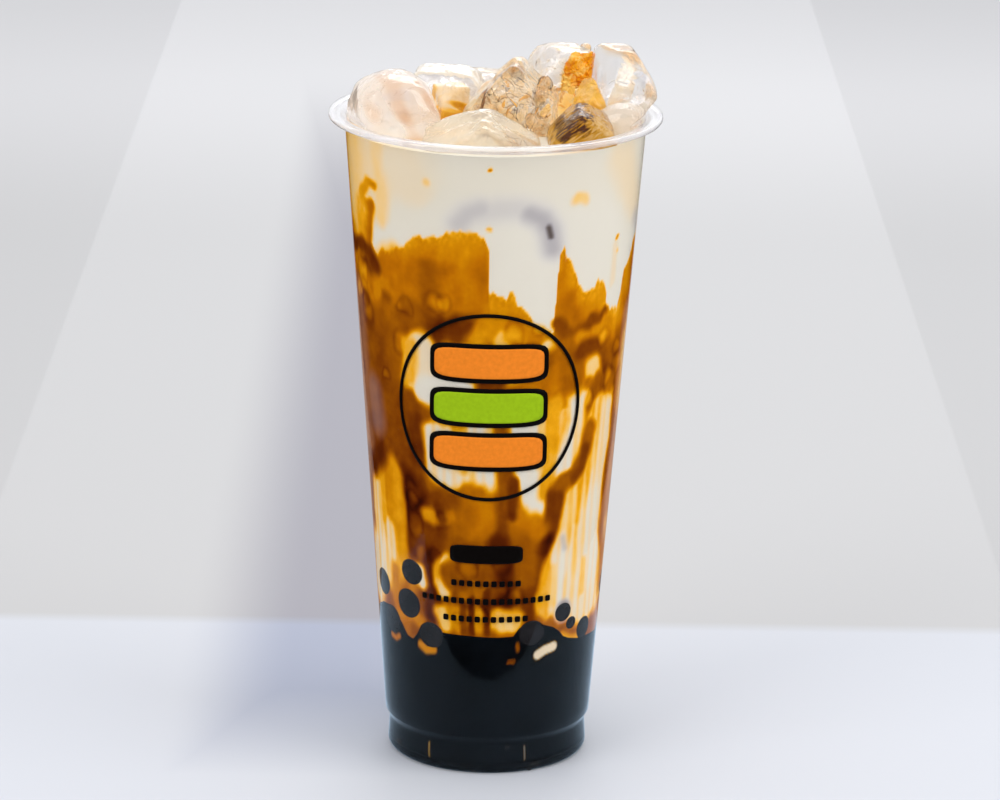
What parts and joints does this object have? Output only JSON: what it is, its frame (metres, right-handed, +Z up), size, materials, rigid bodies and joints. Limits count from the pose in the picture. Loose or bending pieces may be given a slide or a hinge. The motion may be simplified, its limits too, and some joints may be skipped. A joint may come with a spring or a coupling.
{
  "type": "brown sugar bubble tea",
  "caption": "Iced milk tea marbled with brown sugar syrup over tapioca pearls, in a tall clear plastic cup heaped with ice.",
  "frame": {"origin": "centre of the foot ring, on the surface that the cup stands on", "axes": "+Z up along the cup's axis, -Y towards the printed front, +X to the right seen from the front"},
  "size_m": [0.09, 0.09, 0.197],
  "materials": {
    "clear_plastic": "clear moulded polypropylene, glossy, thin, with a slight haze at the lip",
    "milk_tea": "opaque cream milk marbled with amber and dark brown sugar syrup",
    "tapioca": "near-black glossy tapioca in dark syrup",
    "ice": "wet clear ice with cracks, bubbles and amber syrup stains"
  },
  "bodies": {
    "root": {"cup": "clear_plastic", "drink": "milk_tea", "ice_back": "ice", "ice_back_corner": "ice", "ice_back_left": "ice", "ice_back_right": "ice", "ice_centre": "ice", "ice_dome": "ice", "ice_far_left": "ice", "ice_front": "ice", "ice_left": "ice", "ice_right_low": "ice", "ice_right_tall": "ice", "ice_small_left": "ice", "ice_small_right": "ice", "pearl_01": "tapioca", "pearl_02": "tapioca", "pearl_03": "tapioca", "pearl_04": "tapioca", "pearl_05": "tapioca", "pearl_06": "tapioca", "pearl_07": "tapioca", "pearl_08": "tapioca", "pearl_09": "tapioca", "pearl_10": "tapioca", "pearl_bed": "tapioca"}
  },
  "joints": []
}
